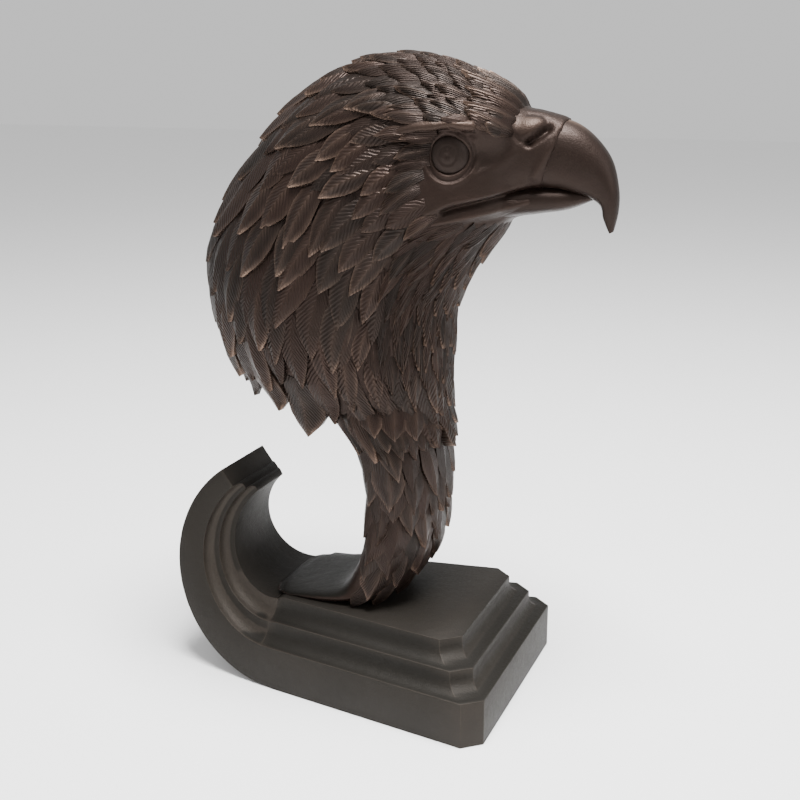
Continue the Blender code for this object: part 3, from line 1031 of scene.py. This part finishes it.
def lay_feathers(part, table, roots, dice):
    """Copies the blank to every root, bent to the surface, and joins the copies in one mesh."""
    corners, faces = feather_blank()
    across, along, top = corners[:, 0][None, :], corners[:, 1][None, :], corners[:, 2][None, :]
    marks = np.array(roots)
    place, turn, length, width, sharp, lift = (marks[:, i][:, None] for i in range(6))
    vary = np.array([[dice.random() for _ in range(5)] for _ in roots])
    length = length * (0.88 + 0.24 * vary[:, 0:1])
    width = width * (0.92 + 0.18 * vary[:, 1:2])
    yaw = 0.34 * (vary[:, 2:3] - 0.5)
    lift = lift * (0.75 + 0.5 * vary[:, 3:4])
    _, down, over, _ = surface_frame(table, place, turn)
    per_place = np.linalg.norm(down, axis=-1)
    per_turn = np.linalg.norm(over, axis=-1)
    outline = blade_outline(along, sharp)
    at_place = np.minimum(place + along * length / per_place, len(table) - 1.05)
    at_turn = turn + (across * outline * width * 0.62 + yaw * along * length) / per_turn
    points, _, _, normal = surface_frame(table, at_place, at_turn)
    small = smooth((0.0072 - width) / 0.0020)
    rounded = 1 - blend(0.30, 0.60, small) * np.abs(across) ** 2
    crest = np.where(np.abs(across) < 0.1, 0.10, 0.0) * np.sin(np.pi * np.clip(along, 0, 1))
    high = lift * (0.10 + 0.90 * along**0.8) * rounded + crest * lift * 2 - 0.0002
    low = np.full(high.shape, -0.0006)
    if part == "head":
        free = smooth((at_place - ruff_end + 0.3) / 0.3)
        thick = blend(0.0050, 0.0018, smooth(-np.cos(turn) / 0.4))
        low = blend(low, high - thick, free)
    raised = np.where(top > 0.5, high, low)
    points = points + normal * raised[..., None]
    count = corners.shape[0]
    all_faces = [[corner + count * i for corner in face] for i in range(len(roots)) for face in faces]
    piece = mesh_piece(f"{part}_feathers", points, all_faces)
    flat = piece.data.uv_layers.new(name="blade")
    corner_of = np.empty(len(piece.data.loops), np.int32)
    piece.data.loops.foreach_get("vertex_index", corner_of)
    fine = np.maximum(small, 0.8 * (part == "neck"))
    chart_across = across * outline * width * (0.6 + fine)
    chart_along = along * length * (1 - 0.9 * fine) + vary[:, 4:5]
    chart = np.stack((chart_across, chart_along), axis=-1)
    flat.data.foreach_set("uv", chart.reshape(-1, 2)[corner_of].ravel().astype(np.float32))
    # Worn colour on blade edges, tips and shafts: rubbed copper with painted highlight glints.
    edge = 0.5 * (np.abs(across) > 0.9) * smooth(along * 2) + 0.7 * smooth((along - 0.75) / 0.25)
    spine = 0.35 * (np.abs(across) < 0.1) * smooth(along * 3)
    wear_and_highlight = np.maximum(edge, spine) * np.where(top > 0.5, 1.0, 0.2) * (0.25 + 0.75 * vary[:, 3:4])
    point_values(piece, "wear_and_highlight", wear_and_highlight.ravel())
    point_values(piece, "tone", (vary[:, 4:5] * np.ones_like(wear_and_highlight)).ravel())
    bpy.ops.object.shade_smooth_by_angle(angle=math.radians(38))
    finished(piece, feather_bronze(), ("eagle",))


class FIGURINE_OT_head_feathers(bpy.types.Operator):
    """Lay the feathers of crown, cheeks, nape and ruff, small in front and long behind"""

    bl_idname = "figurine.head_feathers"
    bl_label = "Head Feathers"

    def execute(self, context):
        size = context.scene.eagle_sizes
        dice = random.Random(size.seed)
        roots = feather_roots("head", head_sections, np.arange(0.02, 12.3, 0.045), size, dice)
        roots += self.ruff_edge()
        lay_feathers("head", head_sections, roots, dice)
        return {"FINISHED"}

    def ruff_edge(self):
        """Roots of the hanging feathers along the ruff's edge behind, and of one longer plume a side."""
        edge_place, length, lift = 11.5, 0.036, 0.0042
        roots = []
        plumes = [(1.57, 13.25, 0.0165, 0.60)]
        plumes += [(2.00 + 0.28 * i, 12.5, 0.0148, 0.50) for i in range(5)]
        for turn, tip_place, width, sharp in plumes:
            for side in (1, -1):
                _, down, _, _ = surface_frame(head_sections, edge_place, side * turn)
                place = tip_place - length / float(np.linalg.norm(down))
                roots.append((place, side * turn, length, width, sharp, lift))
        return roots


class FIGURINE_OT_neck_feathers(bpy.types.Operator):
    """Lay the neck's pointed feathers, and leave its back smooth"""

    bl_idname = "figurine.neck_feathers"
    bl_label = "Neck Feathers"

    def execute(self, context):
        size = context.scene.eagle_sizes
        dice = random.Random(size.seed + 1)
        roots = feather_roots("neck", neck_feather_sections, np.arange(0.0, 7.0, 0.05), size, dice)
        lay_feathers("neck", neck_feather_sections, roots, dice)
        return {"FINISHED"}


# Stage


class FIGURINE_OT_stage(bpy.types.Operator):
    """Set the pale floor, soft studio lights and camera"""

    bl_idname = "figurine.stage"
    bl_label = "Studio Stage"

    def execute(self, context):
        deselect()
        bpy.ops.mesh.primitive_plane_add(size=8, location=(0, 0, 0))
        floor = context.object
        floor.name = "floor"
        made = bpy.data.materials.new("pale_floor")
        made.use_nodes = True
        shader = made.node_tree.nodes["Principled BSDF"]
        shader.inputs["Base Color"].default_value = (0.92, 0.92, 0.92, 1)
        shader.inputs["Roughness"].default_value = 0.9
        floor.data.materials.append(made)
        world = bpy.data.worlds.new("pale_room")
        world.use_nodes = True
        background = world.node_tree.nodes["Background"]
        background.inputs["Color"].default_value = (1.0, 1.0, 1.0, 1)
        background.inputs["Strength"].default_value = 0.78
        context.scene.world = world
        self.add_light("top_light", (0.15, -0.15, 1.10), 0.45, 42)
        self.add_light("side_light", (1.00, -0.10, 0.55), 0.6, 4)
        self.add_light("front_light", (-0.55, -1.1, 0.80), 0.9, 2)
        self.add_camera()
        return {"FINISHED"}

    def add_light(self, name, place, size, power):
        deselect()
        target = Vector((0, 0, 0.15))
        turn = (Vector(place) - target).to_track_quat("Z", "Y").to_euler()
        bpy.ops.object.light_add(type="AREA", location=place, rotation=turn)
        light = bpy.context.object
        light.name = name
        light.data.size = size
        light.data.energy = power

    def add_camera(self):
        yaw, pitch, roll = math.radians(22.5), math.radians(16.0), math.radians(-0.2)
        back = Vector((math.sin(yaw) * math.cos(pitch), -math.cos(yaw) * math.cos(pitch), math.sin(pitch)))
        turn = back.to_track_quat("Z", "Y").to_matrix() @ Matrix.Rotation(roll, 3, "Z")
        deselect()
        bpy.ops.object.camera_add(location=(0.205, -0.509, 0.299), rotation=turn.to_euler())
        camera = bpy.context.object
        camera.data.sensor_width = 36
        camera.data.lens = 54.2
        bpy.context.scene.camera = camera


class FIGURINE_PT_sidebar(bpy.types.Panel):
    """Buttons and sizes of the eagle figurine"""

    bl_idname = "FIGURINE_PT_sidebar"
    bl_label = "Eagle Figurine"
    bl_space_type = "VIEW_3D"
    bl_region_type = "UI"
    bl_category = "Eagle"

    def draw(self, context):
        for operator in operators:
            self.layout.operator(operator.bl_idname)
        for sizes in (context.scene.plinth_sizes, context.scene.eagle_sizes, context.scene.finish_colours):
            box = self.layout.box()
            for name in sizes.__annotations__:
                box.prop(sizes, name)


operators = (
    FIGURINE_OT_plinth, FIGURINE_OT_eagle_skin, FIGURINE_OT_beak, FIGURINE_OT_eyes,
    FIGURINE_OT_head_feathers, FIGURINE_OT_neck_feathers, FIGURINE_OT_stage,
)
groups = {"plinth_sizes": PlinthSizes, "eagle_sizes": EagleSizes, "finish_colours": FinishColours}


def register():
    for made in (*groups.values(), *operators, FIGURINE_PT_sidebar):
        bpy.utils.register_class(made)
    for name, group in groups.items():
        setattr(bpy.types.Scene, name, PointerProperty(type=group))


def unregister():
    for name in groups:
        delattr(bpy.types.Scene, name)
    for made in (FIGURINE_PT_sidebar, *operators[::-1], *groups.values()):
        bpy.utils.unregister_class(made)


def main():
    register()
    bpy.ops.figurine.plinth()
    bpy.ops.figurine.eagle_skin()
    bpy.ops.figurine.beak()
    bpy.ops.figurine.eyes()
    bpy.ops.figurine.head_feathers()
    bpy.ops.figurine.neck_feathers()
    bpy.ops.figurine.stage()


if __name__ == "__main__":
    main()
